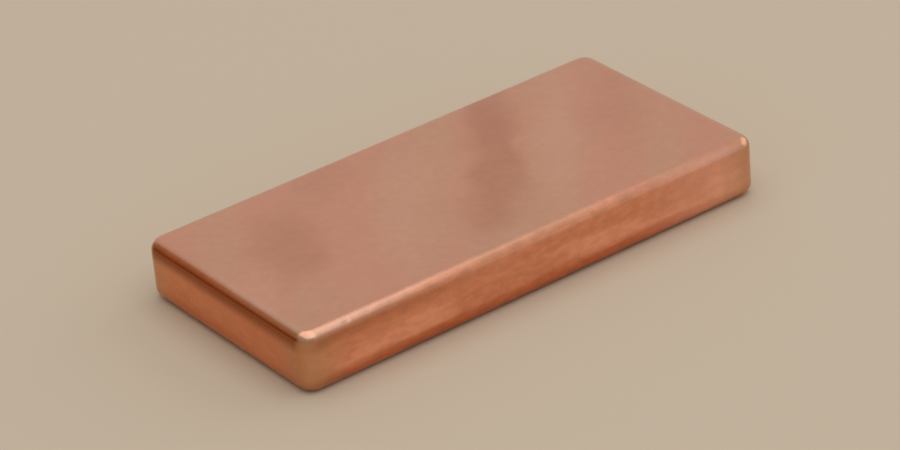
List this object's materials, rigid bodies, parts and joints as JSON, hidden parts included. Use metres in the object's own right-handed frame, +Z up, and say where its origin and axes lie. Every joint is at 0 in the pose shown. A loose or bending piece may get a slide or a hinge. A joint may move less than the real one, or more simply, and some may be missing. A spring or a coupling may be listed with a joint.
{
  "type": "copper ingot",
  "caption": "Flat rectangular copper ingot with rounded corners and softened edges, lying on its broad face. Raw metal stock for stacking, storing, melting or display.",
  "frame": {"origin": "centre of the broad face that the ingot lies on", "axes": "+X along the length, +Y along the width, +Z up through the thickness"},
  "size_m": [0.126, 0.061, 0.0147],
  "materials": {
    "copper": "satin, faintly mottled"
  },
  "bodies": {
    "root": {"ingot": "copper"}
  },
  "joints": []
}
